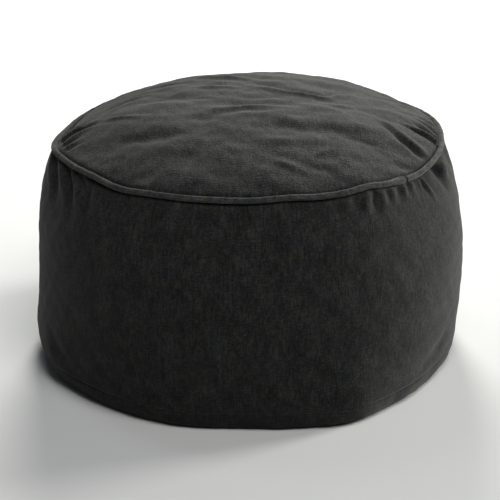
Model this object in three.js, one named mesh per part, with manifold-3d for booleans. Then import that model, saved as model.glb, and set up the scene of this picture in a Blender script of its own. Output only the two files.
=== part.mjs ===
// A drum-shaped floor cushion: a piped, zipped fabric cover over a sewn inner bag full of loose beads.
// Millimetres, +Z up. The origin is the centre of the base on the floor, and -Y is the front.
// Nearly every piece is a fabric layer turned about the Z axis, so pieces are drawn as closed sections
// in the (radius, height) half plane. The zip follows the wall round the back of the cushion.
import * as THREE from "three";
import { mergeVertices } from "three/addons/utils/BufferGeometryUtils.js";
import Module from "manifold-3d";

const wasm = await Module();
wasm.setup();

// ---------- driving dimensions ----------

const BELLY_RADIUS = 280; // the widest part of the wall
const BELLY_HEIGHT = 75; // where the wall is widest
const FOOT_RADIUS = 267; // the wall's radius where it reaches the floor
const SEAM_RADIUS = 250; // centre of the piping round the top
const SEAM_HEIGHT = 294;
const CROWN_RISE = 45; // how far the top swells above the piping
const FOOT_POWER = 4.6; // how late the wall curves in to the floor
const SHOULDER_POWER = 3.5; // how late the wall curves in to the piping
const CROWN_POWER = 3; // above 2, a flatter middle and a fuller edge

const FABRIC = 1.4; // cover fabric thickness
const BINDING = 1.0; // thinner strip folded round the piping cord
const LINING = 0.6; // inner bag's cloth
const LAYER_GAP = 0.3; // free space kept between touching layers
const SEAM_ALLOWANCE = 12;
const BASE_ALLOWANCE = 9;

const PIPING_RADIUS = 4;
const CORD_RADIUS = 2.7;
const FLANGE_SLIT = 0.4; // between the two leaves of the folded strip

const BAND_TOP = 25; // seam between the lower band and the wall
const FRONT_WALL_ANGLE = 200; // degrees of the wall that the front panel covers

const ZIP_CENTRE = BAND_TOP + 6; // height of the line of teeth
const ZIP_WINDOW_TOP = 2 * ZIP_CENTRE - BAND_TOP;
const ZIP_LENGTH = 600; // chain length, along the wall
const ZIP_TAPE = { width: 13, thickness: 0.6, hiddenWidth: 8 };
const ZIP_COIL = { width: 2.3, height: 2.0, centreGap: 1.3 };
const ZIP_TAPE_DEPTH = 2.7; // inner face of the tape, behind the wall's outer face
const STOP_LENGTH = 2.5;

const LINING_DEPTH = 12; // inner bag's outer face, behind the cover's outer face
const BAG_CLEARANCE = 3; // under the bag's base
const FILL_GAP = 1.0;

const COVER_STEPS = 60; // facets round the cover
const ZIP_STEPS = 180; // finer, so that the slider runs clear of the zip all the way
const INNER_STEPS = 36; // facets round the inner bag and fill

// ---------- materials ----------

function cloth(color, roughness = 0.95) {
  return new THREE.MeshStandardMaterial({ color, roughness, metalness: 0 });
}

const charcoalCloth = cloth(0x3a3b39);
const baseCloth = cloth(0x232323);
const cordCotton = cloth(0xd8d2c4);
const zipTapeCloth = cloth(0x262626, 0.9);
const liningCloth = cloth(0xe6e4de, 0.9);
const beads = cloth(0xf4f4f2, 0.8);
const coilNylon = new THREE.MeshStandardMaterial({ color: 0x1b1b1b, roughness: 0.45, metalness: 0 });
const sliderMetal = new THREE.MeshStandardMaterial({ color: 0x2c2c2e, roughness: 0.35, metalness: 0.9 });

// ---------- solids and sections ----------

const point = (r, z) => new THREE.Vector2(r, z);
const spread = (from, to, count) =>
  Array.from({ length: count }, (_, i) => from + ((to - from) * i) / (count - 1));

// A geometry as a manifold-3d solid, and back.
function solid(geometry) {
  const bare = new THREE.BufferGeometry();
  const flat = geometry.index ? geometry.toNonIndexed() : geometry;
  bare.setAttribute("position", flat.getAttribute("position"));
  const merged = mergeVertices(bare, 1e-4);
  const vertProperties = merged.attributes.position.array;
  const triVerts = new Uint32Array(merged.index.array);
  return new wasm.Manifold(new wasm.Mesh({ numProp: 3, vertProperties, triVerts }));
}

function geometryOf(manifold) {
  const mesh = manifold.getMesh();
  const geometry = new THREE.BufferGeometry();
  geometry.setAttribute("position", new THREE.BufferAttribute(mesh.vertProperties, mesh.numProp));
  geometry.setIndex(new THREE.BufferAttribute(mesh.triVerts, 1));
  geometry.computeVertexNormals();
  return geometry;
}

// A closed section turned about the Z axis, facing outwards whichever way round it was drawn.
function turned(section, steps) {
  const outward = THREE.ShapeUtils.area(section) > 0 ? section : [...section].reverse();
  const onAxis = outward.some((p) => p.x === 0);
  if (onAxis) {
    // The section starts and ends on the axis, so the line along the axis is left out.
    const last = outward.findIndex((p, i) => p.x === 0 && outward.at(i - 1).x !== 0);
    const opened = [...outward.slice(last + 1), ...outward.slice(0, last + 1)];
    return new THREE.LatheGeometry(opened, steps).rotateX(Math.PI / 2);
  }
  return new THREE.LatheGeometry([...outward, outward[0]], steps).rotateX(Math.PI / 2);
}

// A wedge about the Z axis from one compass angle to another, in degrees from +X towards +Y.
function wedge(fromDegrees, toDegrees, low, high) {
  const corners = spread(fromDegrees, toDegrees, 9).map((degrees) => {
    const angle = THREE.MathUtils.degToRad(degrees);
    return point(2 * BELLY_RADIUS * Math.cos(angle), 2 * BELLY_RADIUS * Math.sin(angle));
  });
  const shape = new THREE.Shape([point(0, 0), ...corners]);
  const geometry = new THREE.ExtrudeGeometry(shape, { depth: high - low, bevelEnabled: false });
  return solid(geometry.translate(0, 0, low));
}

// The line of a layer's face, moved to its right by a distance.
function shifted(line, distance) {
  return line.map((p, i) => {
    const before = line[Math.max(i - 1, 0)];
    const after = line[Math.min(i + 1, line.length - 1)];
    const along = after.clone().sub(before).normalize();
    return point(p.x + along.y * distance, p.y - along.x * distance);
  });
}

// A layer of cloth with its outer face on a line, and its inner face one thickness to the line's left.
function layer(line, thickness) {
  return [...line, ...shifted(line, -thickness).reverse()];
}

// ---------- the cover's outer shape ----------

function wallRadius(z) {
  if (z < BELLY_HEIGHT) {
    return BELLY_RADIUS - (BELLY_RADIUS - FOOT_RADIUS) * (1 - z / BELLY_HEIGHT) ** FOOT_POWER;
  }
  const rise = (z - BELLY_HEIGHT) / (SEAM_HEIGHT - BELLY_HEIGHT);
  return BELLY_RADIUS - (BELLY_RADIUS - SEAM_RADIUS) * rise ** SHOULDER_POWER;
}

function crownHeight(r) {
  return SEAM_HEIGHT + CROWN_RISE * (1 - (r / SEAM_RADIUS) ** CROWN_POWER);
}

// Points on the piping seam's section: out along the corner's bisector, and across it towards the crown.
const SEAM_OUT = point(Math.SQRT1_2, Math.SQRT1_2);
const SEAM_ACROSS = point(-Math.SQRT1_2, Math.SQRT1_2);

function atSeam(out, across) {
  return point(SEAM_RADIUS, SEAM_HEIGHT).addScaledVector(SEAM_OUT, out).addScaledVector(SEAM_ACROSS, across);
}

const FLANGE_HALF = FLANGE_SLIT / 2 + BINDING;
const FLANGE_END = -(PIPING_RADIUS + SEAM_ALLOWANCE);
const BEHIND_PIPING = -(PIPING_RADIUS + LAYER_GAP);
const BESIDE_FLANGE = FLANGE_HALF + LAYER_GAP;

// ---------- cover pieces ----------

// The round top: a crown whose edge turns down into the seam beside the piping's flange.
function topPanel() {
  const crown = spread(0, SEAM_RADIUS - 9, 7).map((r) => point(r, crownHeight(r)));
  const face = [...crown, atSeam(BEHIND_PIPING, BESIDE_FLANGE), atSeam(FLANGE_END, BESIDE_FLANGE)];
  const under = shifted(face, FABRIC);
  under[0].x = 0;
  return turned([...face, ...under.reverse()], COVER_STEPS);
}

// The wall from a height up to the piping, with its top edge turned in below the flange.
function wallRing(bottom) {
  const low = spread(bottom, BELLY_HEIGHT, 5);
  const high = spread(BELLY_HEIGHT, SEAM_HEIGHT - 11, 7).slice(1);
  const wall = [...low, ...high].map((z) => point(wallRadius(z), z));
  const face = [...wall, atSeam(BEHIND_PIPING, -BESIDE_FLANGE), atSeam(FLANGE_END, -BESIDE_FLANGE)];
  return solid(turned(layer(face, FABRIC), COVER_STEPS));
}

const REAR = 90; // degrees: +Y
const FRONT_HALF_ANGLE = FRONT_WALL_ANGLE / 2;
const REAR_HALF_ANGLE = 180 - FRONT_HALF_ANGLE;
const PANEL_GAP = 0.1; // degrees between the front and rear panels at each side seam
const ZIP_RADIUS = wallRadius(ZIP_CENTRE);
const ZIP_HALF_ANGLE = THREE.MathUtils.radToDeg(ZIP_LENGTH / 2 / ZIP_RADIUS);
const WALL_BOTTOM = BAND_TOP + LAYER_GAP;

function frontWallPanel() {
  const half = FRONT_HALF_ANGLE - PANEL_GAP;
  const part = wedge(-REAR - half, -REAR + half, 0, SEAM_HEIGHT * 2);
  return geometryOf(wallRing(WALL_BOTTOM).intersect(part));
}

// The rear panel is shorter over the zip, which shows through the window below it.
function rearWallPanel() {
  const half = REAR_HALF_ANGLE - PANEL_GAP;
  const part = wedge(REAR - half, REAR + half, 0, SEAM_HEIGHT * 2);
  const window = wedge(REAR - ZIP_HALF_ANGLE, REAR + ZIP_HALF_ANGLE, 0, ZIP_WINDOW_TOP);
  return geometryOf(wallRing(WALL_BOTTOM).intersect(part).subtract(window));
}

// The strip between the wall and the base, with its lower edge turned up inside.
const BASE_RADIUS = FOOT_RADIUS - 6;

function lowerBand() {
  const turnUp = BASE_RADIUS + LAYER_GAP;
  const wall = spread(7, BAND_TOP, 4).map((z) => point(wallRadius(z), z));
  const foot = [point(turnUp, BASE_ALLOWANCE), point(turnUp, 1.2), point(turnUp + 1.8, 0)];
  const face = [...foot, point(FOOT_RADIUS - 1, 1), ...wall];
  return turned(layer(face, FABRIC), COVER_STEPS);
}

// The flat disc that rests on the floor, with its edge turned up inside the band.
function basePanel() {
  const inner = BASE_RADIUS - FABRIC;
  const section = [
    point(0, 0),
    point(BASE_RADIUS, 0),
    point(BASE_RADIUS, BASE_ALLOWANCE),
    point(inner, BASE_ALLOWANCE),
    point(inner, FABRIC),
    point(0, FABRIC),
  ];
  return turned(section, COVER_STEPS);
}

// ---------- piping ----------

// Points round a circle about the cord's centre, clockwise from just above the flange to just below it.
function roundCord(radius, halfOpening, count) {
  const limit = Math.PI - Math.asin(halfOpening / radius);
  return spread(limit, -limit, count).map((a) => atSeam(radius * Math.cos(a), radius * Math.sin(a)));
}

// The strip folded round the cord: a ring with two leaves that run into the seam.
function pipingSleeve() {
  const slit = FLANGE_SLIT / 2;
  const section = [
    atSeam(FLANGE_END, FLANGE_HALF),
    ...roundCord(PIPING_RADIUS, FLANGE_HALF, 9),
    atSeam(FLANGE_END, -FLANGE_HALF),
    atSeam(FLANGE_END, -slit),
    ...roundCord(PIPING_RADIUS - BINDING, slit, 8).reverse(),
    atSeam(FLANGE_END, slit),
  ];
  return turned(section, COVER_STEPS);
}

function pipingCord() {
  const angles = spread(0, 2 * Math.PI, 8).slice(1);
  const section = angles.map((a) => atSeam(CORD_RADIUS * Math.cos(a), CORD_RADIUS * Math.sin(a)));
  return turned(section, COVER_STEPS);
}

// ---------- zip ----------

// The zip leans with the wall, so depths behind the wall's face are measured along its normal there.
const WALL_LEAN = Math.atan2(wallRadius(ZIP_CENTRE + 6) - wallRadius(ZIP_CENTRE - 6), 12);

function behindWall(height, depth) {
  const z = ZIP_CENTRE + height;
  return point(wallRadius(z) - depth * Math.cos(WALL_LEAN), z + depth * Math.sin(WALL_LEAN));
}

// A strip along the zip, between two heights from its centre line and two depths behind the wall.
function zipStrip(low, high, outerDepth, innerDepth, fromDegrees, toDegrees) {
  const heights = spread(low, high, 3);
  const face = heights.map((height) => behindWall(height, outerDepth));
  const back = heights.map((height) => behindWall(height, innerDepth));
  const ring = solid(turned([...face, ...back.reverse()], ZIP_STEPS));
  return geometryOf(ring.intersect(wedge(fromDegrees, toDegrees, 0, SEAM_HEIGHT)));
}

const ZIP_START = REAR - ZIP_HALF_ANGLE;
const ZIP_END = REAR + ZIP_HALF_ANGLE;
const alongZip = (millimetres) => THREE.MathUtils.radToDeg(millimetres / ZIP_RADIUS);

const TAPE_EDGE = ZIP_COIL.centreGap / 2;
const TAPE_FACE_DEPTH = ZIP_TAPE_DEPTH - ZIP_TAPE.thickness;
const COIL_BACK_DEPTH = TAPE_FACE_DEPTH - LAYER_GAP;
const COIL_FACE_DEPTH = COIL_BACK_DEPTH - ZIP_COIL.height;

// side is 1 for the upper tape, sewn to the wall, and -1 for the lower one, sewn to the band.
function zipTape(side) {
  const edges = [side * TAPE_EDGE, side * (TAPE_EDGE + ZIP_TAPE.width)].sort((a, b) => a - b);
  const overrun = alongZip(ZIP_TAPE.hiddenWidth);
  return zipStrip(...edges, TAPE_FACE_DEPTH, ZIP_TAPE_DEPTH, ZIP_START - overrun, ZIP_END + overrun);
}

function zipCoil(side) {
  const edges = [side * TAPE_EDGE, side * (TAPE_EDGE + ZIP_COIL.width)].sort((a, b) => a - b);
  const from = ZIP_START + alongZip(STOP_LENGTH + 1);
  return zipStrip(...edges, COIL_FACE_DEPTH, COIL_BACK_DEPTH, from, ZIP_END - alongZip(STOP_LENGTH + 1));
}

// A crimped metal stop at the closed end of one tape.
function topStop(side) {
  const edges = [side * (TAPE_EDGE + 0.2), side * (TAPE_EDGE + 2.6)].sort((a, b) => a - b);
  const end = ZIP_START + alongZip(STOP_LENGTH + 0.5);
  return zipStrip(...edges, COIL_FACE_DEPTH, COIL_BACK_DEPTH, ZIP_START + alongZip(0.5), end);
}

// The stop across both tapes at the open end.
function bottomStop() {
  const half = TAPE_EDGE + ZIP_COIL.width;
  const from = ZIP_END - alongZip(STOP_LENGTH + 0.5);
  return zipStrip(-half, half, COIL_FACE_DEPTH, COIL_BACK_DEPTH, from, ZIP_END - alongZip(0.5));
}

// ---------- slider and pull ----------

// Both are drawn in a frame of their own: X along the zip towards its closed end, Y out of the wall's
// face, Z up the wall.
const SLIDER = { length: 12, halfWidth: 4.8, noseHalfWidth: 3.6, plate: 1.2, clear: 0.5 };
const SLIDER_FACE = SLIDER.plate + SLIDER.clear - COIL_FACE_DEPTH; // outer plate's outer face
const SLIDER_INNER = -ZIP_TAPE_DEPTH - 0.4; // inner plate's face next to the tape
const BRIDGE = { halfLength: 3.6, opening: 2.3, height: 3.2, clear: 1.9, width: 2.4 };
const PULL = { length: 26, halfWidth: 3.4, thickness: 1.2, barRadius: 0.6, holeEnd: 5.2, holeHalf: 1.8 };
const PULL_PIVOT = SLIDER_FACE + 0.95; // distance of the pull's bar from the wall's face

// A flat shape in the X-Z plane, extruded outwards from one distance to another.
function plate(shape, from, to) {
  const geometry = new THREE.ExtrudeGeometry(shape, { depth: to - from, bevelEnabled: false });
  return solid(geometry.rotateX(Math.PI / 2).translate(0, to, 0));
}

function block(x0, x1, y0, y1, z0, z1) {
  const geometry = new THREE.BoxGeometry(x1 - x0, y1 - y0, z1 - z0);
  return solid(geometry.translate((x0 + x1) / 2, (y0 + y1) / 2, (z0 + z1) / 2));
}

// Two plates joined by a thin post between the coils, with side flanges and a bridge for the pull.
function zipSlider() {
  const half = SLIDER.length / 2;
  const outline = new THREE.Shape([
    point(-half, -SLIDER.noseHalfWidth),
    point(-half + 3, -SLIDER.halfWidth),
    point(half - 3, -SLIDER.halfWidth),
    point(half, -SLIDER.noseHalfWidth),
    point(half, SLIDER.noseHalfWidth),
    point(half - 3, SLIDER.halfWidth),
    point(-half + 3, SLIDER.halfWidth),
    point(-half, SLIDER.noseHalfWidth),
  ]);
  const outerPlate = plate(outline, SLIDER_FACE - SLIDER.plate, SLIDER_FACE);
  const innerPlate = plate(outline, SLIDER_INNER - SLIDER.plate, SLIDER_INNER);
  const post = block(half - 3, half, SLIDER_INNER - 0.1, SLIDER_FACE - 1, -0.3, 0.3);
  const flangeFoot = -TAPE_FACE_DEPTH + 0.5;
  const flange = (z) => block(-half + 3, half - 3, flangeFoot, SLIDER_FACE - 1, z - 0.5, z + 0.5);
  const bridgeTop = SLIDER_FACE + BRIDGE.height;
  const bridge = block(
    -BRIDGE.halfLength, BRIDGE.halfLength, SLIDER_FACE - 0.1, bridgeTop, -BRIDGE.width / 2, BRIDGE.width / 2,
  ).subtract(
    block(-BRIDGE.opening, BRIDGE.opening, SLIDER_FACE, SLIDER_FACE + BRIDGE.clear, -BRIDGE.width, BRIDGE.width),
  );
  const body = outerPlate.add(innerPlate).add(post).add(bridge);
  const edge = SLIDER.halfWidth - 0.5;
  return geometryOf(body.add(flange(edge)).add(flange(-edge)));
}

// A tapered tab with a slot at one end; the bar across the slot's end sits under the bridge.
function zipPull() {
  const outline = new THREE.Shape();
  const tipRadius = PULL.halfWidth - 0.8;
  const tipCentre = PULL.barRadius + tipRadius - PULL.length;
  outline.moveTo(PULL.barRadius, PULL.halfWidth);
  outline.lineTo(tipCentre, tipRadius);
  outline.absarc(tipCentre, 0, tipRadius, Math.PI / 2, 1.5 * Math.PI);
  outline.lineTo(PULL.barRadius, -PULL.halfWidth);
  const slot = new THREE.Path([
    point(-PULL.barRadius, -PULL.holeHalf),
    point(-PULL.barRadius, PULL.holeHalf),
    point(-PULL.holeEnd, PULL.holeHalf),
    point(-PULL.holeEnd, -PULL.holeHalf),
  ]);
  outline.holes.push(slot);
  return geometryOf(plate(outline, -PULL.thickness / 2, PULL.thickness / 2));
}

// ---------- inner bag and fill ----------

// The bag's outline, or a line inset from it. Its corners pass inside the cover's seam allowances.
function bagLine(inset) {
  const depth = LINING_DEPTH + inset;
  const behindCover = (z) => point(wallRadius(z) - depth, z);
  const foot = [
    point(BASE_RADIUS - 20 - inset, BAG_CLEARANCE + inset),
    point(BASE_RADIUS - 6 - inset, BAG_CLEARANCE + 5 + inset),
    behindCover(22 + inset),
  ];
  const wall = spread(70, SEAM_HEIGHT - 38, 4).map(behindCover);
  const shoulder = point(SEAM_RADIUS - 20 - inset, SEAM_HEIGHT - 24 - inset);
  const crown = spread(SEAM_RADIUS - 36, 0, 5).map((r) => point(r, crownHeight(r) - depth));
  return { foot, wall, shoulder, crown };
}

const bag = bagLine(0);

function bagTop() {
  const rim = bag.shoulder.clone().add(point(-0.3, 0.4));
  const face = [rim, ...bag.crown];
  const under = shifted(face, -LINING);
  under.at(-1).x = 0;
  return turned([...face, ...under.reverse()], INNER_STEPS);
}

function bagWall() {
  return turned(layer([bag.foot[1], bag.foot[2], ...bag.wall, bag.shoulder], LINING), INNER_STEPS);
}

function bagBase() {
  const rim = bag.foot[1].clone().add(point(-0.6, -0.4));
  const face = [point(0, bag.foot[0].y), bag.foot[0], rim];
  const above = shifted(face, -LINING);
  above[0].x = 0;
  return turned([...face, ...above.reverse()], INNER_STEPS);
}

function beadFill() {
  const line = bagLine(LINING + FILL_GAP);
  const bottom = line.foot[0].y;
  return turned([point(0, bottom), ...line.foot, ...line.wall, line.shoulder, ...line.crown], INNER_STEPS);
}

// ---------- assembly ----------

const cushion = new THREE.Group();

function addPiece(parent, name, geometry, material) {
  const mesh = new THREE.Mesh(geometry, material);
  mesh.name = name;
  parent.add(mesh);
  return mesh;
}

addPiece(cushion, "top_panel", topPanel(), charcoalCloth);
addPiece(cushion, "front_wall_panel", frontWallPanel(), charcoalCloth);
addPiece(cushion, "rear_wall_panel", rearWallPanel(), charcoalCloth);
addPiece(cushion, "lower_band", lowerBand(), charcoalCloth);
addPiece(cushion, "base_panel", basePanel(), baseCloth);
addPiece(cushion, "piping_sleeve", pipingSleeve(), charcoalCloth);
addPiece(cushion, "piping_cord", pipingCord(), cordCotton);
addPiece(cushion, "inner_bag_top", bagTop(), liningCloth);
addPiece(cushion, "inner_bag_wall", bagWall(), liningCloth);
addPiece(cushion, "inner_bag_base", bagBase(), liningCloth);
addPiece(cushion, "bead_fill", beadFill(), beads);

for (const [place, side] of [["upper", 1], ["lower", -1]]) {
  addPiece(cushion, `${place}_zip_tape`, zipTape(side), zipTapeCloth);
  addPiece(cushion, `${place}_zip_coil`, zipCoil(side), coilNylon);
  addPiece(cushion, `${place}_zip_top_stop`, topStop(side), sliderMetal);
}
addPiece(cushion, "zip_bottom_stop", bottomStop(), sliderMetal);

// The slider rests at the closed end. Its group turns to that place and leans with the wall there.
const SLIDER_ANGLE = ZIP_START + alongZip(STOP_LENGTH + 1.5 + SLIDER.length / 2);
const sliderPlace = new THREE.Group();
sliderPlace.rotation.set(-WALL_LEAN, 0, THREE.MathUtils.degToRad(SLIDER_ANGLE - REAR), "ZYX");
sliderPlace.position.set(
  ZIP_RADIUS * Math.cos(THREE.MathUtils.degToRad(SLIDER_ANGLE)),
  ZIP_RADIUS * Math.sin(THREE.MathUtils.degToRad(SLIDER_ANGLE)),
  ZIP_CENTRE,
);
cushion.add(sliderPlace);
addPiece(sliderPlace, "zip_slider", zipSlider(), sliderMetal);
const pull = addPiece(sliderPlace, "zip_pull", zipPull(), sliderMetal);
pull.position.y = PULL_PIVOT;

export default cushion;
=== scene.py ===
import math

import bpy
import numpy as np
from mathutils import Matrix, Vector
from mathutils.bvhtree import BVHTree


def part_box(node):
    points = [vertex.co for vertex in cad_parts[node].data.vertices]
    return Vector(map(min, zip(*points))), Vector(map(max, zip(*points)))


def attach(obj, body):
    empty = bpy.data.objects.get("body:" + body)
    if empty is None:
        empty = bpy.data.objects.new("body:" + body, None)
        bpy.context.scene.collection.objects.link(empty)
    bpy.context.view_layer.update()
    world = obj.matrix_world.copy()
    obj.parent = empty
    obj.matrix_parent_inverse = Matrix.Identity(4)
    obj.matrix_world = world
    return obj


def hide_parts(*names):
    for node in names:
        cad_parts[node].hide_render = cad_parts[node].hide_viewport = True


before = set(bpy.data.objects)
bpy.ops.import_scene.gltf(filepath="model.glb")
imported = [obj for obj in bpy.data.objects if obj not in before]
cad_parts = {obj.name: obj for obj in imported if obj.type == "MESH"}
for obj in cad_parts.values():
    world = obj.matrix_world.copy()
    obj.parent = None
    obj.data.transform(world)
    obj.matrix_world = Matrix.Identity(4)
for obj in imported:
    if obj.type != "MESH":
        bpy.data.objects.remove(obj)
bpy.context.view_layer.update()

# --- sizes, in metres, read from the frame where it has them ---

MM = 0.001
FABRIC = 1.4 * MM
BEAD_RADIUS = 4 * MM

BELLY_RADIUS = -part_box("front_wall_panel")[0].y
BELLY_HEIGHT = 75 * MM
BASE_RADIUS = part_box("base_panel")[1].x
FOOT_RADIUS = BASE_RADIUS + 6 * MM
SEAM_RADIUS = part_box("piping_sleeve")[1].x - BEAD_RADIUS
SEAM_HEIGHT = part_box("piping_sleeve")[1].z - BEAD_RADIUS
CROWN_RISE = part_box("top_panel")[1].z - SEAM_HEIGHT
BAND_TOP = 25 * MM
ZIP_TOP = BAND_TOP + 12 * MM
SEAM_GAP = 0.3 * MM
ZIP_CENTRE = BAND_TOP + 6 * MM

FOOT_POWER = 4.6
SHOULDER_POWER = 3.5
CROWN_POWER = 3.0

# The cover is drawn on columns at equal azimuths. Azimuth 0 is the front and 90 is the right side.
COLUMNS = 360
BAND_COLUMNS = 2 * COLUMNS
SIDE_SEAM = 100  # degrees from the front to each seam between the two wall panels
ZIP_HALF = 62  # degrees from the back to each end of the zip's window
ROW_STEP = 5 * MM
LINING_DEPTH = 12 * MM  # from the cover's outer face in to the inner bag

SIM_FRAMES = 20
SIM_CAP = 7 * MM


def wall_radius(z):
    """The true round wall's outer radius at a height."""
    foot = np.clip(1 - z / BELLY_HEIGHT, 0, 1) ** FOOT_POWER
    shoulder = np.clip((z - BELLY_HEIGHT) / (SEAM_HEIGHT - BELLY_HEIGHT), 0, 1) ** SHOULDER_POWER
    return BELLY_RADIUS - (BELLY_RADIUS - FOOT_RADIUS) * foot - (BELLY_RADIUS - SEAM_RADIUS) * shoulder


def crown_height(r):
    """The true round top's height at a radius."""
    return SEAM_HEIGHT + CROWN_RISE * (1 - (r / SEAM_RADIUS) ** CROWN_POWER)


def polar(azimuth, radius, z):
    """Points at azimuths in degrees, radii and heights, as an array whose last axis is x, y, z."""
    a = np.radians(azimuth)
    return np.stack(np.broadcast_arrays(radius * np.sin(a), -radius * np.cos(a), z), axis=-1)


def turn(a, b):
    """The difference between two azimuths, in degrees, from -180 to 180."""
    return (a - b + 180) % 360 - 180


def azimuth_of(points, middle=0):
    """Azimuths within 180 degrees of a middle one."""
    return turn(np.degrees(np.arctan2(points[..., 0], -points[..., 1])), middle) + middle


def smoothstep(x):
    x = np.clip(x, 0, 1)
    return x * x * (3 - 2 * x)


def hump(x, width):
    """A smooth bump of height 1 at zero."""
    return np.exp(-((x / width) ** 2))


def unit(vectors):
    return vectors / np.linalg.norm(vectors, axis=1, keepdims=True)


def wobble(points, wavelength, seed, waves=14):
    """Smooth noise of about unit size, the same on every run: waves in seeded directions, added up."""
    own = np.random.default_rng(seed)
    total = np.zeros(points.shape[:-1])
    for _ in range(waves):
        direction = own.normal(size=points.shape[-1])
        direction /= np.linalg.norm(direction)
        length = wavelength * own.uniform(0.7, 1.5)
        total += np.sin(points @ direction * (2 * math.pi / length) + own.uniform(0, 2 * math.pi))
    return total / math.sqrt(waves / 2)


# --- meshes ---

def link(data, name):
    piece = bpy.data.objects.new(name, data)
    bpy.context.scene.collection.objects.link(piece)
    return piece


def mesh_piece(name, points, faces):
    mesh = bpy.data.meshes.new(name)
    mesh.from_pydata(np.asarray(points).reshape(-1, 3).tolist(), [], faces)
    mesh.shade_smooth()
    return link(mesh, name)


def set_uv(piece, uv):
    """uv is one (u, v) for each vertex, in metres of cloth."""
    mesh = piece.data
    layer = mesh.uv_layers.get("cloth") or mesh.uv_layers.new(name="cloth")
    corners = np.empty(len(mesh.loops), dtype=np.int64)
    mesh.loops.foreach_get("vertex_index", corners)
    layer.data.foreach_set("uv", np.asarray(uv, dtype=np.float32)[corners].ravel())


def grid_index(*shape):
    """Vertex numbers of a grid of points."""
    return np.arange(math.prod(shape)).reshape(shape)


def grid_faces(index, closed=False):
    """Quads of a grid of vertex numbers. closed joins the last column to the first."""
    if closed:
        index = np.hstack([index, index[:, :1]])
    quads = [index[:-1, :-1], index[1:, :-1], index[1:, 1:], index[:-1, 1:]]
    return np.stack(quads, axis=-1).reshape(-1, 4).tolist()


def tube_faces(index):
    """Faces of a round tube from rings of vertex numbers, with its two ends closed."""
    return [*grid_faces(index, closed=True), index[0].tolist(), index[-1][::-1].tolist()]


def bake_modifiers(piece):
    evaluated = piece.evaluated_get(bpy.context.evaluated_depsgraph_get())
    mesh = bpy.data.meshes.new_from_object(evaluated)
    piece.modifiers.clear()
    piece.data = mesh


def subdivide(piece):
    modifier = piece.modifiers.new("subdivide", "SUBSURF")
    modifier.levels = 1
    modifier.boundary_smooth = "PRESERVE_CORNERS"
    bake_modifiers(piece)


def thicken(piece, thickness):
    """Gives a sheet its thickness inwards, with its rim closed."""
    modifier = piece.modifiers.new("thickness", "SOLIDIFY")
    modifier.thickness = thickness
    modifier.offset = -1
    bake_modifiers(piece)


def points_of(piece):
    points = np.empty(len(piece.data.vertices) * 3, dtype=np.float32)
    piece.data.vertices.foreach_get("co", points)
    return points.reshape(-1, 3).astype(float)


def set_points(piece, points):
    piece.data.vertices.foreach_set("co", np.asarray(points, dtype=np.float32).ravel())
    piece.data.update()


def finish_piece(piece, material, slot, *nodes, body="cushion"):
    """Gives a piece its material, its body and the CAD nodes that it stands for. The slot is not used."""
    piece.data.materials.clear()
    piece.data.materials.append(material)
    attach(piece, body)
    if nodes:
        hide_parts(*nodes)


def finish_cover(piece, material, node, slot="cover_fabric"):
    """Gives a sheet of the cover its thickness and finish."""
    thicken(piece, FABRIC)
    finish_piece(piece, material, slot, node)


# --- node trees ---

def fill_inputs(node, inputs):
    """Gives a node's inputs their values, or the outputs that feed them."""
    for key, value in inputs.items():
        if isinstance(value, bpy.types.NodeSocket):
            node.id_data.links.new(value, node.inputs[key])
        else:
            node.inputs[key].default_value = value


def add_node(tree, kind, inputs, **values):
    node = tree.nodes.new(kind)
    for key, value in values.items():
        setattr(node, key, value)
    fill_inputs(node, inputs)
    return node


# --- camera and studio ---

def aim_at(item, target):
    item.rotation_euler = (Vector(target) - item.location).to_track_quat("-Z", "Y").to_euler()


def add_camera():
    """A long lens, from where the photograph's outline says it was taken."""
    camera = link(bpy.data.cameras.new("camera"), "camera")
    camera.data.lens = 129.3
    camera.data.sensor_width = 36
    camera.location = (0, -2.2174, 1.0325)
    aim_at(camera, (0, 0, 0.1313))
    bpy.context.scene.camera = camera


WARM = (1, 1, 0.95)
AREA_LIGHTS = [  # name, position, diameter in metres, power in watts and colour
    ("back_light", (-0.1, 2.5, 1.8), 1.0, 94, WARM),
    ("right_light", (4.6, 1.75, 1.15), 1.6, 355, WARM),
    ("top_light", (0.6, -1.4, 2.85), 1.5, 54, (1, 1, 0.98)),
    ("left_light", (-0.8, 0.8, 2.9), 0.7, 6, (0.8, 0.92, 1)),
]


def add_floor():
    corners = [(-12, -12, 0), (12, -12, 0), (12, 12, 0), (-12, 12, 0)]
    floor = mesh_piece("floor", corners, [(0, 1, 2, 3)])
    floor.location.z = -0.5 * MM
    floor.data.materials.append(floor_material())


def add_world():
    """A faint cool fill light. The camera itself sees a pale backdrop."""
    world = bpy.data.worlds.new("studio")
    world.use_nodes = True
    tree = world.node_tree
    fill = tree.nodes["Background"]
    fill_inputs(fill, {"Color": (0.9, 0.95, 1, 1), "Strength": 0.06})
    backdrop = add_node(tree, "ShaderNodeBackground", {"Color": (1, 1, 1, 1), "Strength": 0.75})
    seen = add_node(tree, "ShaderNodeLightPath", {}).outputs["Is Camera Ray"]
    mix = add_node(tree, "ShaderNodeMixShader", {"Fac": seen, 1: fill.outputs[0], 2: backdrop.outputs[0]})
    fill_inputs(tree.nodes["World Output"], {"Surface": mix.outputs[0]})
    bpy.context.scene.world = world


def add_studio():
    add_floor()
    add_world()
    bpy.context.scene.view_settings.view_transform = "Standard"
    for name, position, size, power, colour in AREA_LIGHTS:
        data = bpy.data.lights.new(name, "AREA")
        data.shape = "DISK"
        data.size = size
        data.energy = power
        data.color = colour
        light = link(data, name)
        light.location = position
        aim_at(light, (0, 0, 0.2))


# --- materials ---

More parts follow.
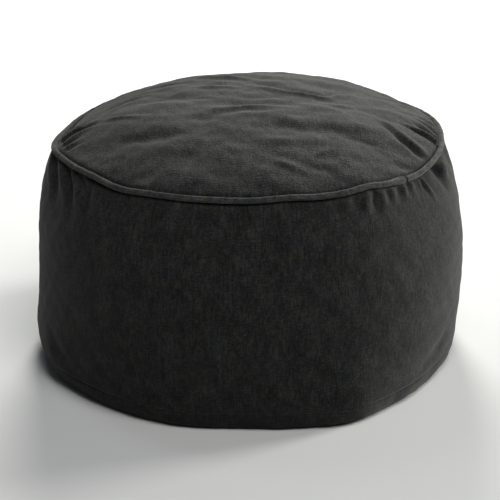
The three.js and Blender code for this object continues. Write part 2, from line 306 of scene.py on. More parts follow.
class Nodes:
    """A short way to write a material's node tree."""

    def __init__(self, name):
        self.material = bpy.data.materials.new(name)
        self.material.use_nodes = True
        self.tree = self.material.node_tree
        self.shader = self.tree.nodes["Principled BSDF"]

    def add(self, kind, inputs, **values):
        return add_node(self.tree, kind, inputs, **values)

    def surface(self, **values):
        fill_inputs(self.shader, {key.replace("_", " "): value for key, value in values.items()})

    def cloth_place(self, tilt=0.0):
        """Metres of cloth across and along, turned by a tilt."""
        uv = self.add("ShaderNodeUVMap", {}, uv_map="cloth")
        mapping = self.add("ShaderNodeMapping", {"Vector": uv.outputs["UV"], "Rotation": (0, 0, tilt)})
        return mapping.outputs["Vector"]

    def object_place(self):
        return self.add("ShaderNodeTexCoord", {}).outputs["Object"]

    def noise(self, place, scale, detail=2.0, roughness=0.5):
        """Noise with about one bump in 1 / scale metres along each axis."""
        mapping = self.add("ShaderNodeMapping", {"Vector": place, "Scale": scale})
        inputs = {"Vector": mapping.outputs["Vector"], "Scale": 1, "Detail": detail, "Roughness": roughness}
        return self.add("ShaderNodeTexNoise", inputs).outputs["Fac"]

    def waves(self, place, direction, scale, distortion=0.0):
        inputs = {"Vector": place, "Scale": scale, "Distortion": distortion}
        return self.add("ShaderNodeTexWave", inputs, bands_direction=direction).outputs["Fac"]

    def math(self, operation, a, b):
        return self.add("ShaderNodeMath", {0: a, 1: b}, operation=operation).outputs[0]

    def blend(self, a, b, share):
        return self.math("ADD", self.math("MULTIPLY", a, 1 - share), self.math("MULTIPLY", b, share))

    def ramp(self, value, *stops):
        """A colour from (place, colour) stops."""
        node = self.add("ShaderNodeValToRGB", {"Fac": value})
        elements = node.color_ramp.elements
        for place, _ in stops[2:]:
            elements.new(place)
        for element, (place, colour) in zip(elements, stops):
            element.position = place
            element.color = (*colour, 1)
        return node.outputs["Color"]

    def colours(self, value, *stops):
        self.surface(Base_Color=self.ramp(value, *stops))

    def tinted(self, colour, tint):
        """The base colour, as one colour multiplied by another."""
        node = self.add("ShaderNodeMix", {"Factor": 1}, data_type="RGBA", blend_type="MULTIPLY")
        first, second = (k for k, socket in enumerate(node.inputs) if socket.type == "RGBA")
        fill_inputs(node, {first: colour, second: tint})
        self.surface(Base_Color=next(socket for socket in node.outputs if socket.type == "RGBA"))

    def rough(self, value, low, high):
        node = self.add("ShaderNodeMapRange", {"Value": value, "To Min": low, "To Max": high})
        self.surface(Roughness=node.outputs["Result"])

    def bump(self, height, distance, strength):
        node = self.add("ShaderNodeBump", {"Height": height, "Distance": distance, "Strength": strength})
        self.surface(Normal=node.outputs["Normal"])


def grey(value, warmth=0.0):
    return (value * (1 + warmth), value, value * (1 - warmth))


def floor_material():
    """A pale floor that glows a little far out, where the lights don't reach."""
    n = Nodes("pale_floor")
    n.surface(Base_Color=(0.64, 0.64, 0.64, 1), Roughness=0.9, Emission_Color=(1, 1, 1, 1))
    distance = n.add("ShaderNodeVectorMath", {0: n.object_place()}, operation="LENGTH")
    reach = {"Value": distance.outputs["Value"], "From Min": 1.2, "From Max": 5, "To Min": 0, "To Max": 0.68}
    glow = n.add("ShaderNodeMapRange", reach, interpolation_type="SMOOTHSTEP")
    n.surface(Emission_Strength=glow.outputs["Result"])
    return n.material


def cover_cloth(name, tilt=0.0, relief=1.0, light=1.0, contrast=1.0, sheen=0.17):
    """Brushed charcoal weave: uneven warp and weft, dark flecks, and patches of nap.

    relief is the weave's depth in millimetres. light scales the yarns' colour: the top, wall and piping copies
    of this one cloth are painted lighter or darker for how light falls on each, as painted highlight and
    painted shade."""
    n = Nodes(name)
    place = n.cloth_place(tilt)
    warp = n.noise(place, (560, 110, 1), detail=2, roughness=0.6)
    weft = n.noise(place, (120, 520, 1), detail=2, roughness=0.6)
    fleck = n.noise(place, (430, 380, 1), detail=3, roughness=0.7)
    slub = n.noise(place, (230, 60, 1), detail=2, roughness=0.6)
    nap = n.noise(place, (44, 30, 1), detail=3, roughness=0.6)
    pattern = n.blend(n.blend(n.blend(warp, weft, 0.48), fleck, 0.4), slub, 0.22)
    shade = n.blend(pattern, nap, 0.2)
    reach = 0.12 / contrast
    charcoal = n.ramp(
        shade,
        (0.5 - reach, grey(0.0035 * light, -0.04)),
        (0.5, grey(0.022 * light)),
        (0.5 + reach, grey(0.054 * light, 0.03)),
    )
    # The yarns are dyed from slightly blue to slightly olive.
    dye = n.noise(place, (100, 80, 1), detail=4, roughness=0.7)
    n.tinted(charcoal, n.ramp(dye, (0.36, (0.87, 0.96, 1.1)), (0.64, (1.1, 1.06, 0.9))))
    n.surface(Sheen_Weight=sheen, Sheen_Roughness=0.4, Sheen_Tint=(0.7, 0.71, 0.69, 1))
    n.surface(Specular_IOR_Level=0.15)
    n.rough(nap, 0.85, 1.0)
    n.bump(pattern, relief * MM, 0.9)
    return n.material


def shaded_wall_cloth(name):
    """The walls' and band's copy of the cover cloth: painted shade makes its colour a little darker than the
    top's, and it has less sheen.
    """
    return cover_cloth(name, light=0.66, contrast=1.12, sheen=0.12)


def plain_weave(name, dark, light, threads_per_metre):
    """A flat two-way weave in one colour, with uneven threads."""
    n = Nodes(name)
    place = n.cloth_place()
    across = n.waves(place, "X", threads_per_metre / 20, 0.6)
    along = n.waves(place, "Y", threads_per_metre / 20, 0.6)
    uneven = n.noise(place, (threads_per_metre / 8, threads_per_metre / 3, 1), detail=3)
    weave = n.blend(n.math("MULTIPLY", across, along), uneven, 0.5)
    n.colours(weave, (0.2, dark), (0.7, light))
    n.surface(Sheen_Weight=0.1, Specular_IOR_Level=0.2)
    n.rough(uneven, 0.85, 1.0)
    n.bump(weave, 0.4 * MM, 0.6)
    return n.material


def grained(name, scale, stops, roughness, relief, **surface):
    """A finish with one fine grain in its colour, its roughness and its relief."""
    n = Nodes(name)
    grain = n.noise(n.object_place(), *scale)
    n.colours(grain, *stops)
    n.surface(**surface)
    n.rough(grain, *roughness)
    n.bump(grain, *relief)
    return n.material


def cotton(name, shade=1.0):
    """Fibrous cotton, from natural white to dyed dark at a low shade."""
    dark, light = (0.5, 0.46, 0.38), (0.75, 0.72, 0.64)
    stops = (0.3, [shade * c for c in dark]), (0.7, [shade * c for c in light])
    scale = (700, 700, 1500), 4
    return grained(name, scale, stops, (0.85, 1.0), (0.3 * MM, 0.6), Sheen_Weight=0.2, Specular_IOR_Level=0.2)


def nylon(name):
    """Smooth black nylon with faint streaks."""
    stops = (0.3, grey(0.008)), (0.7, grey(0.02))
    return grained(name, ((900, 900, 900), 3), stops, (0.3, 0.5), (0.05 * MM, 0.3), Specular_IOR_Level=0.5)


def enamelled_metal(name, wear=True):
    """Dark enamel over zinc alloy. With wear, it is rubbed to bare metal on its edges."""
    n = Nodes(name)
    grain = n.noise(n.object_place(), (1400, 1400, 1400), detail=4)
    if wear:
        edge = n.add("ShaderNodeNewGeometry", {}).outputs["Pointiness"]
        rubbed = n.blend(edge, grain, 0.08)
        n.colours(rubbed, (0.49, grey(0.018)), (0.52, grey(0.03)), (0.57, grey(0.4)))
    else:
        n.colours(grain, (0.3, grey(0.018)), (0.7, grey(0.045)))
    n.surface(Metallic=0.9)
    n.rough(grain, 0.28, 0.45)
    n.bump(grain, 0.03 * MM, 0.3)
    return n.material


def lining(name):
    """Thin white non-woven cloth: pressed fibres with a fine embossed grid."""
    n = Nodes(name)
    place = n.object_place()
    fibre = n.noise(place, (260, 260, 260), detail=5, roughness=0.7)
    grid = n.math("MULTIPLY", n.waves(place, "X", 45), n.waves(place, "Z", 45))
    mix = n.blend(fibre, grid, 0.3)
    n.colours(mix, (0.25, grey(0.5, 0.02)), (0.7, grey(0.78, 0.02)))
    n.surface(Specular_IOR_Level=0.2)
    n.rough(fibre, 0.8, 1.0)
    n.bump(mix, 0.4 * MM, 0.5)
    return n.material


def bead_material(name):
    """White foam beads, drawn as close-packed cells, each painted darker towards its rim as painted shade
    where the beads meet.
    """
    n = Nodes(name)
    inputs = {"Vector": n.object_place(), "Scale": 330}
    cells = n.add("ShaderNodeTexVoronoi", inputs).outputs["Distance"]
    # Painted shade: each cell is darker towards its rim, where the beads meet.
    n.colours(cells, (0.0, grey(0.85)), (0.6, grey(0.45)))
    n.surface(Roughness=0.7)
    n.bump(n.math("SUBTRACT", 1.0, cells), 1.5 * MM, 0.8)
    return n.material


# --- how the cover departs from a true round ---

# How the piping and the foot leave their true circles, as azimuth, millimetres and spread in degrees.
SEAM_RISES = [
    (-103, -8.5, 14), (-119, -3.5, 11), (-138, -6.5, 22), (-39, -3.8, 8), (10, 3.2, 7),
    (34, 2.9, 5), (55, -4.2, 9), (92, 2.0, 14), (128, -5.0, 14), (165, -3.0, 18),
]
SEAM_PUSHES = [(-76, 6.0, 9), (-98, -4.5, 13), (90, -2.5, 20), (150, 2.0, 20)]
FOOT_PUSHES = [(-64, 5.0, 10), (-90, 1.5, 20), (-2, -7.5, 13), (27, 8.0, 9), (60, -5.0, 12), (88, -3.5, 14)]


def humps(table, azimuth):
    return sum(size * MM * hump(turn(azimuth, place), spread) for place, size, spread in table)


def seam_rise(azimuth):
    return humps(SEAM_RISES, azimuth)


def seam_push(azimuth):
    return humps(SEAM_PUSHES, azimuth)


def settle_foot(points):
    """Spreads or draws in the lower part, less so towards the middle of the base."""
    out = points.copy()
    radius = np.hypot(points[..., 0], points[..., 1])
    low = 1 - smoothstep((points[..., 2] - 0.02) / 0.14)
    push = humps(FOOT_PUSHES, azimuth_of(points))
    share = push * low * (radius / FOOT_RADIUS) ** 3 / FOOT_RADIUS
    out[..., :2] *= 1 + share[..., None]
    return out


def settle_top(points):
    """Moves points of the true crown to where the slack cloth lies."""
    out = points.copy()
    radius = np.hypot(points[..., 0], points[..., 1])
    azimuth = azimuth_of(points)
    edge = (radius / SEAM_RADIUS) ** 4
    inner = 1 - edge
    out[..., 2] += seam_rise(azimuth) * edge
    push = 1 + seam_push(azimuth) * edge / SEAM_RADIUS
    out[..., :2] *= push[..., None]
    # The cloth puffs up beside the piping, slumps at the left and stands high at the right.
    gap = hump(turn(azimuth, -90), 15)
    out[..., 2] += 2.2 * MM * (1 - gap) * hump(radius - 0.234, 0.016)
    out[..., 2] -= 3.5 * MM * gap * hump(radius - 0.245, 0.006)
    out[..., 2] -= 4.5 * MM * hump(np.hypot(points[..., 0] + 0.205, points[..., 1] - 0.055), 0.060)
    out[..., 2] += 4.0 * MM * hump(np.hypot(points[..., 0] - 0.130, points[..., 1] - 0.165), 0.080)
    drag = points * (0.35, 1, 1)
    soft = 1.4 * MM * wobble(points, 0.15, 3) + 0.9 * MM * wobble(points, 0.065, 4)
    out[..., 2] += inner * (soft + 0.9 * MM * wobble(drag, 0.045, 8))
    return out


def settle_wall(points):
    """Moves points of the true wall to where the slack cloth lies."""
    out = points.copy()
    azimuth = azimuth_of(points)
    upper = smoothstep((points[..., 2] - 0.12) / (SEAM_HEIGHT - 0.12)) ** 2
    out[..., 2] += seam_rise(azimuth) * upper
    lower = smoothstep((points[..., 2] - ZIP_TOP) / 0.05)
    around = points * (1, 1, 0.6)
    waves = 1.7 * MM * wobble(around, 0.30, 5) + 0.6 * MM * wobble(around, 0.11, 6)
    soft = lower * (1 - upper) * waves
    soft += 4.2 * MM * hump(turn(azimuth, -86), 22) * hump(points[..., 2] - 0.065, 0.07)
    push = 1 + (seam_push(azimuth) * upper + soft) / SEAM_RADIUS
    out[..., :2] *= push[..., None]
    return settle_foot(out)


# --- creases ---

BOTH_ENDS = (0.4, 0.6)
FROM_SEAM = (0, 0.65)


def crease(flat, route, width, depth, fade=FROM_SEAM, bank=0.45, fan=0.0):
    """How far a crease along a route lifts the cloth at flat positions, in metres.

    Its middle sinks by depth, and a bank rises on each side (a pair sets the left and the right).
    It comes in and runs out over the shares of its length in fade, and fan widens it to its end."""
    banks = bank if isinstance(bank, tuple) else (bank, bank)
    route = np.asarray(route, dtype=float)
    steps = np.linalg.norm(np.diff(route, axis=0), axis=1)
    reach = np.concatenate([[0], np.cumsum(steps)])
    near = np.full(flat.shape[:-1], np.inf)
    side = np.zeros(flat.shape[:-1])
    along = np.zeros(flat.shape[:-1])
    for start, end, length, begun in zip(route[:-1], route[1:], steps, reach[:-1]):
        direction = (end - start) / length
        offset = flat - start
        t = np.clip(offset @ direction, 0, length)
        gap = offset - t[..., None] * direction
        distance = np.linalg.norm(gap, axis=-1)
        closer = distance < near
        near = np.where(closer, distance, near)
        across = direction[0] * offset[..., 1] - direction[1] * offset[..., 0]
        side = np.where(closer, np.sign(across), side)
        along = np.where(closer, begun + t, along)
    share = along / reach[-1]
    reached = width * (1 + fan * share)
    d = near * side
    lift = -hump(d, reached)
    lift += banks[0] * hump(d - 1.9 * reached, 1.1 * reached)
    lift += banks[1] * hump(d + 1.9 * reached, 1.1 * reached)
    envelope = smoothstep((1 - share) / fade[1])
    if fade[0] > 0:
        envelope = envelope * smoothstep(share / fade[0])
    return depth * lift * envelope


TOP_DENTS = [  # soft hollows: centre x and y, half width, half depth and depth, in millimetres
    (-127, -108, 36, 15, 4.2), (-95, -138, 46, 26, -2.6), (30, -54, 34, 20, -2.2),
    (32, -100, 28, 14, 1.8), (0, -16, 44, 14, 3.0), (112, 84, 44, 22, 4.5),
    (24, 98, 30, 13, 2.4), (58, -64, 20, 9, 2.4), (72, -102, 28, 12, 2.2),
    (28, -172, 13, 17, 1.8), (-80, -166, 18, 19, 2.0), (-124, -192, 22, 11, 1.8),
    (84, -192, 18, 8, 1.8), (-96, 22, 44, 17, 2.4), (-60, -70, 34, 12, 1.6),
]

TOP_RIDGES = [  # width, height and the hollows beside it, then its route in millimetres
    (8, 3.2, (0.2, 0.4), ((-76, -50), (-19, -36), (40, -32), (78, -46))),
    (7, 3.6, (0.8, 0.1), ((-34, 64), (6, 57), (46, 37), (98, 20), (130, 52), (168, 126))),
    (6, 2.6, 0.3, ((-84, 140), (-20, 104), (24, 80))),
    (6, 2.4, 0.3, ((-84, 68), (-50, 62), (0, 46))),
    (5, 2.0, 0.3, ((-206, -22), (-165, -37), (-122, -48))),
    (9, 1.8, (0.2, 0.3), ((-6, -132), (40, -137), (90, -127))),
    (6, 1.8, (0.4, 0.3), ((24, -176), (44, -190), (68, -202))),
    (6, 2.2, 0.3, ((-136, 148), (-70, 162), (-6, 172))),
    (6, 2.0, 0.3, ((-168, 100), (-116, 116), (-62, 104))),
    (6, 2.2, 0.3, ((-204, 44), (-152, 66), (-104, 60))),
    (7, 2.0, 0.3, ((-24, 180), (30, 192), (90, 182))),
    (6, 1.6, 0.3, ((104, -138), (86, -160), (62, -174))),
    (7, 2.0, (0.3, 0.2), ((96, -12), (128, -6), (150, -22))),
]

TOP_FOLDS = [  # width and depth in millimetres, the route, and what differs from a plain fold
    # The deep tuck and its companion at the right edge, and the fine ones beside them.
    (4.8, 3.7, ((150, -24), (166, -48), (188, -80), (211, -106), (236, -120)),
     {"fade": (0.6, 0.35), "bank": (0.6, 0.05), "fan": 0.25}),
    (3.8, 3.1, ((180, -24), (204, -36), (222, -46), (246, -66)), {"fade": (0.5, 0.12), "bank": (0.8, 0.1)}),
    (3.2, 2.4, ((244, -30), (226, -4), (204, 22)), {}),
    (3.2, 2.2, ((245, -14), (232, 14), (213, 42)), {}),
    (3.2, 2.2, ((246, 4), (238, 30), (224, 60)), {}),
    (3.2, 1.8, ((240, -44), (220, -22), (200, -4)), {}),
    (8, 2.4, ((172, -150), (192, -142), (212, -128)), {"fade": BOTH_ENDS, "bank": 0.2}),
    # A fan of unequal folds from the left corner.
    (4, 4.5, ((-243, -56), (-230, -42), (-206, -32), (-174, -28)), {"fan": 0.8}),
    (3.6, 4.0, ((-244, -34), (-226, -20), (-200, -12)), {"fan": 0.6}),
    (3, 2.4, ((-240, -74), (-224, -62), (-206, -56)), {"fan": 0.5}),
    (3, 1.6, ((-236, -90), (-222, -80), (-200, -76)), {"fan": 0.5}),
    (5, 3.0, ((-244, -12), (-218, 8), (-190, 16), (-150, 20)), {"fan": 0.9}),
    (5, 2.2, ((-242, 12), (-214, 34), (-180, 42)), {"fan": 0.9}),
]

BACK_TOP_GATHERS = [  # azimuth and depth in millimetres, where the seam holds spare cloth
    (112, 2.4), (121, 1.6), (129, 2.6), (141, 1.4), (163, 1.8), (176, 1.2), (204, 2.0), (215, 1.4), (232, 1.6),
]


def top_creases(flat):
    """The creases of the top panel. Flat positions are x to the right and y to the back."""
    lift = np.zeros(flat.shape[:-1])
    for x, y, half_width, half_depth, depth in TOP_DENTS:
        offset = (flat - (x * MM, y * MM)) / (half_width * MM, half_depth * MM)
        lift -= depth * MM * np.exp(-(offset**2).sum(axis=-1))
    for width, height, hollows, route in TOP_RIDGES:
        lift += crease(flat, np.multiply(route, MM), width * MM, -height * MM, BOTH_ENDS, hollows)
    for width, depth, route, options in TOP_FOLDS:
        lift += crease(flat, np.multiply(route, MM), width * MM, depth * MM, **options)
    for azimuth, depth in BACK_TOP_GATHERS:
        outer, inner = polar(azimuth, 246 * MM, 0), polar(azimuth + 3 - depth, 196 * MM, 0)
        lift += crease(flat, [outer[:2], inner[:2]], 5 * MM, depth * MM, fan=0.8)
    return lift


def wall_route(*stops):
    """Stops are azimuth in degrees and height in millimetres."""
    return [(math.radians(azimuth) * BELLY_RADIUS, z * MM) for azimuth, z in stops]


SEAM_EDGE = 291  # millimetres up to the wall's edge under the piping

WALL_FOLDS = [  # width and depth in millimetres, then stops in degrees and millimetres, fade and banks
    # Right of the front: a pocket under the piping, a softer one beside it and a sharp diagonal.
    (9, 9.5, ((64, SEAM_EDGE), (67, 278), (71, 250)), (0, 0.5), (0.55, 0.1)),
    (8, 3.5, ((77, SEAM_EDGE + 1), (81, 278), (84, 250)), FROM_SEAM, (0.5, 0.2)),
    (2.8, -3.4, ((56, SEAM_EDGE), (57, 276), (61, 250)), FROM_SEAM, 0.35),
]
LOW_FOLDS = [  # the same, for plain soft folds where the weight rests
    (10, 2.0, ((-66, 84), (-60, 56), (-50, 28))),
    (10, 2.0, ((70, 76), (62, 52), (46, 34))),
    (11, 2.2, ((128, 92), (136, 64), (150, 48))),
    (11, 2.0, ((236, 96), (226, 66), (214, 50))),
]
WALL_GATHERS = [  # azimuth, depth, lowest height and width, in degrees and millimetres
    (24, 1.0, 274, 7), (30, 1.6, 268, 6), (36, 3.2, 256, 5.5), (41, 1.9, 268, 4),
    (45.5, 2.9, 262, 6), (49.5, 3.4, 264, 4.2), (53.5, 2.0, 272, 4),
]
LEFT_FOLDS = [  # the same, for longer and wider folds that lean forwards as they fall
    (-74, 4.4, 240, 6.5), (-64, 5.0, 242, 6), (-56.5, 4.4, 244, 8), (-49, 1.6, 258, 6), (-35, 1.8, 260, 4),
]


def wall_creases(flat):
    """The creases of the wall. Flat positions are the arc from the front and the height."""
    lift = np.zeros(flat.shape[:-1])
    for width, depth, stops, fade, bank in WALL_FOLDS:
        lift += crease(flat, wall_route(*stops), width * MM, depth * MM, fade, bank)
    for azimuth, depth, low, width in WALL_GATHERS:
        route = wall_route((azimuth, SEAM_EDGE), (azimuth - 1, low))
        lift += crease(flat, route, width * MM, depth * MM, fan=0.6)
    for azimuth, depth, low, width in LEFT_FOLDS:
        lean = 0.22 * (SEAM_EDGE - low) * (azimuth < -50)
        middle = (azimuth + 0.6 * lean, (SEAM_EDGE + low) / 2)
        route = wall_route((azimuth, SEAM_EDGE), middle, (azimuth + lean, low - 8))
        lift += crease(flat, route, width * MM, depth * MM, bank=0.35, fan=0.5)
    for width, depth, stops in LOW_FOLDS:
        lift += crease(flat, wall_route(*stops), width * MM, depth * MM, BOTH_ENDS)
    return lift


def back_gathers(flat):
    """Gathers under the piping on the side that the rear panel covers, at seeded places."""
    own = np.random.default_rng(31)
    lift = np.zeros(flat.shape[:-1])
    azimuth = SIDE_SEAM + 4.0
    while azimuth < 360 - SIDE_SEAM - 3:
        strong = 0.35 + 0.65 * math.sin(math.radians(azimuth * 2.3)) ** 2
        depth = own.uniform(0.8, 2.6) * strong
        lean = own.uniform(-3, 3)
        low = own.uniform(266, 280) - 16 * depth
        route = wall_route((azimuth, SEAM_EDGE), (azimuth + lean, low))
        lift += crease(flat, route, own.uniform(3.5, 5.5) * MM, depth * MM, fan=0.7)
        azimuth += own.uniform(3.0, 6.5)
    return lift


# --- the cover's form: grid, cloth simulation and pieces ---

TOP_ROWS = [
    (SEAM_RADIUS - 5.2 * MM, SEAM_HEIGHT + 3.2 * MM),
    (SEAM_RADIUS - 4.1 * MM, SEAM_HEIGHT - 0.8 * MM),
]
SEAM_ROW = (SEAM_RADIUS - 2.7 * MM, SEAM_HEIGHT - 3.8 * MM)
TUCK_ROW = (SEAM_RADIUS + 0.8 * MM, SEAM_HEIGHT - 5.2 * MM)
DISC_RADIUS = SEAM_RADIUS - 9 * MM

SEAM_DIP = 0.45 * MM  # how far the cloth turns in at the seam between the wall and the band
SEAM_DIP_WIDTH = 1.6 * MM


def disc_grid(side):
    """A square grid mapped onto a unit disc, as each point's radius and azimuth, with an even rim."""
    line = np.linspace(-1, 1, side + 1)
    a, b = np.meshgrid(line, line)
    wide = np.abs(a) >= np.abs(b)
    radius = np.where(wide, np.abs(a), np.abs(b))
    run = np.where(wide, a, b)
    ratio = np.where(wide, b, a) / np.where(run == 0, 1, run)
    angle = np.where(wide, 45 * ratio, 90 - 45 * ratio) + np.where(run < 0, 180, 0)
    return radius, angle + 90


def rim_of(radius, azimuth):
    """The grid's rim points in order of azimuth, one for each column."""
    rim = np.full(COLUMNS, -1)
    for number in np.flatnonzero(np.isclose(radius.ravel(), 1)):
        rim[int(round(azimuth.ravel()[number] * COLUMNS / 360)) % COLUMNS] = number
    return rim


def wall_heights():
    """Heights of the wall's rows, from under the piping to the band."""
    upper = SEAM_HEIGHT - 9 * MM
    count = int(round((upper - ZIP_TOP) / ROW_STEP))
    open_part = np.linspace(upper, ZIP_TOP, count + 1)
    zip_part = np.linspace(ZIP_TOP, BAND_TOP + SEAM_GAP, 4)[1:]
    return np.concatenate([open_part, zip_part])


CLOTH_SETTINGS = dict(
    quality=6, mass=0.4, tension_stiffness=40, compression_stiffness=40, shear_stiffness=15,
    bending_stiffness=1.2, vertex_group_mass="pinned", vertex_group_shrink="eased", shrink_min=0,
    shrink_max=-0.07, use_pressure=True, uniform_pressure_force=4,
)


def simulate(points, faces, pinned, eased):
    """Relaxes the cover as cloth that its fill presses out, with spare cloth where eased is high."""
    cover = mesh_piece("cover_form", points, faces)
    for name, weights in (("pinned", pinned), ("eased", eased)):
        group = cover.vertex_groups.new(name=name)
        for number in np.flatnonzero(weights > 0.01):
            group.add([int(number)], float(weights[number]), "REPLACE")
    cloth = cover.modifiers.new("cloth", "CLOTH")
    for key, value in CLOTH_SETTINGS.items():
        setattr(cloth.settings, key, value)
    cloth.settings.effector_weights.gravity = 0
    cloth.point_cache.frame_start = 1
    cloth.point_cache.frame_end = SIM_FRAMES
    for number in range(1, SIM_FRAMES + 1):
        bpy.context.scene.frame_set(number)
    bake_modifiers(cover)
    moved = points_of(cover) - points
    bpy.data.objects.remove(cover)
    bpy.context.scene.frame_set(1)
    length = np.linalg.norm(moved, axis=1, keepdims=True)
    return points + moved * np.minimum(1, SIM_CAP / np.maximum(length, 1e-9))


def pin_and_ease(rings, disc_radius, disc_azimuth):
    """How firmly each point is held, along the piping, foot and zip, and its share of spare cloth."""
    azimuths = np.arange(COLUMNS)
    z = rings[..., 2]
    below = np.arange(len(rings)) > len(TOP_ROWS)
    pinned = np.zeros(rings.shape[:2])
    pinned[~below] = 1
    pinned[len(TOP_ROWS) + 1] = 1
    low_pin = 1 - smoothstep((z - BAND_TOP - 4 * MM) / (30 * MM))
    back = np.abs(turn(azimuths, 180)) < ZIP_HALF + 6
    low_pin = np.maximum(low_pin, back * (1 - smoothstep((z - ZIP_TOP - 8 * MM) / (20 * MM))))
    pinned = np.maximum(pinned, low_pin)
    eased = np.zeros(rings.shape[:2])
    eased[below] = ((0.25 + 0.75 * gather_share(azimuths)) * smoothstep((z - 0.19) / 0.09))[below]
    disc_eased = 0.5 * smoothstep((disc_radius - 0.72) / 0.2) * (0.15 + 0.85 * gather_share(disc_azimuth))
    disc_eased = np.maximum(disc_eased, 0.12)
    held = np.concatenate([(disc_radius.ravel() > 0.999) * 1.0, pinned.ravel(), [1.0]])
    spare = np.concatenate([disc_eased.ravel(), eased.ravel(), [0.0]])
    return held, spare


def top_faces(disc_index, rim, ring_index):
    """Faces of the top's disc, and of the rings that run on from its rim."""
    return [
        *[face[::-1] for face in grid_faces(disc_index)],
        *grid_faces(np.vstack([rim, ring_index]), closed=True),
    ]


def cover_form():
    """The settled cover: points of the top's disc and rim rows, and of the wall's rows by column."""
    azimuths = np.arange(COLUMNS)
    radius, azimuth = disc_grid(COLUMNS // 4)
    disc = settle_top(polar(azimuth, radius * DISC_RADIUS, crown_height(radius * DISC_RADIUS)))
    top_rows = settle_top(np.stack([polar(azimuths, r, z) for r, z in TOP_ROWS]))
    seam = settle_wall(polar(azimuths, *SEAM_ROW))[None]
    tuck = settle_wall(polar(azimuths, *TUCK_ROW))[None]
    wall = settle_wall(np.stack([polar(azimuths, wall_radius(z), z) for z in wall_heights()]))
    foot = settle_foot(np.stack([polar(azimuths, FOOT_RADIUS, 2 * MM), polar(azimuths, BASE_RADIUS, 0)]))
    rings = np.concatenate([top_rows, seam, tuck, wall, foot])

    disc_points = disc.reshape(-1, 3)
    disc_index = grid_index(*radius.shape)
    ring_index = disc_index.size + grid_index(len(rings), COLUMNS)
    rim = rim_of(radius, azimuth)
    points = np.concatenate([disc_points, rings.reshape(-1, 3), [(0, 0, 0)]])
    centre = len(points) - 1
    last = ring_index[-1]
    under = [(int(last[i]), centre, int(last[(i + 1) % COLUMNS])) for i in range(COLUMNS)]
    faces = top_faces(disc_index, rim, ring_index) + under
    points = simulate(points, faces, *pin_and_ease(rings, radius, azimuth))
    disc_points = points[: len(disc_points)]
    rings = points[len(disc_points): -1].reshape(rings.shape)
    return disc_points, disc_index, rim, rings


def gather_share(azimuth):
    """How much spare cloth the seam holds at an azimuth, from 0 to 1."""
    share = 0.9 * hump(turn(azimuth, -72), 22) + 1.0 * hump(turn(azimuth, 62), 26)
    share = share + 0.8 * hump(turn(azimuth, 128), 24) + 0.6 * hump(turn(azimuth, 196), 20)
    return np.clip(share + 0.6 * hump(turn(azimuth, -128), 16) + 0.1, 0, 1)


def lift_top(points, lift):
    """Moves points of the top along the crown's outward normal."""
    radius = np.hypot(points[:, 0], points[:, 1])
    slope = CROWN_RISE * CROWN_POWER * (radius / SEAM_RADIUS) ** (CROWN_POWER - 1) / SEAM_RADIUS
    away = points[:, :2] / np.maximum(radius, 1e-6)[:, None]
    normal = unit(np.column_stack([away * slope[:, None], np.ones(len(points))]))
    return points + normal * lift[:, None]


def keep_above_bag(points, radius):
    """The cloth sinks no further than the inner bag under it allows. The bag ends short of the seam."""
    room = LINING_DEPTH - 2.4 * MM + 30 * MM * smoothstep((radius - 0.222) / 0.02)
    out = points.copy()
    out[:, 2] = np.maximum(points[:, 2], crown_height(radius) - room)
    return out


def lift_wall(points, lift):
    """Moves points of the wall outwards."""
    radius = np.hypot(points[:, 0], points[:, 1])
    return points * np.column_stack([1 + lift / radius, 1 + lift / radius, np.ones(len(points))])


def add_top(form):
    disc_points, disc_index, rim, rings = form
    used = rings[: len(TOP_ROWS) + 1]
    ring_index = disc_index.size + grid_index(len(used), COLUMNS)
    points = np.concatenate([disc_points, used.reshape(-1, 3)])
    top = mesh_piece("top_cloth", points, top_faces(disc_index, rim, ring_index))
    subdivide(top)
    points = points_of(top)
    flat = points[:, :2]
    radius = np.linalg.norm(flat, axis=1)
    inside = 1 - smoothstep((radius - DISC_RADIUS) / (5 * MM))
    lift = top_creases(flat) + 0.25 * MM * wobble(points, 0.028, 11)
    set_points(top, keep_above_bag(lift_top(points, lift * inside), radius))
    set_uv(top, flat)
    # The top's copy of the cover cloth is painted a little lighter than the wall's, with a stronger pattern,
    # for the light that falls across it: painted light.
    cloth = cover_cloth("cover_cloth_top", relief=2.8, light=0.68, contrast=1.22)
    finish_cover(top, cloth, "top_panel")


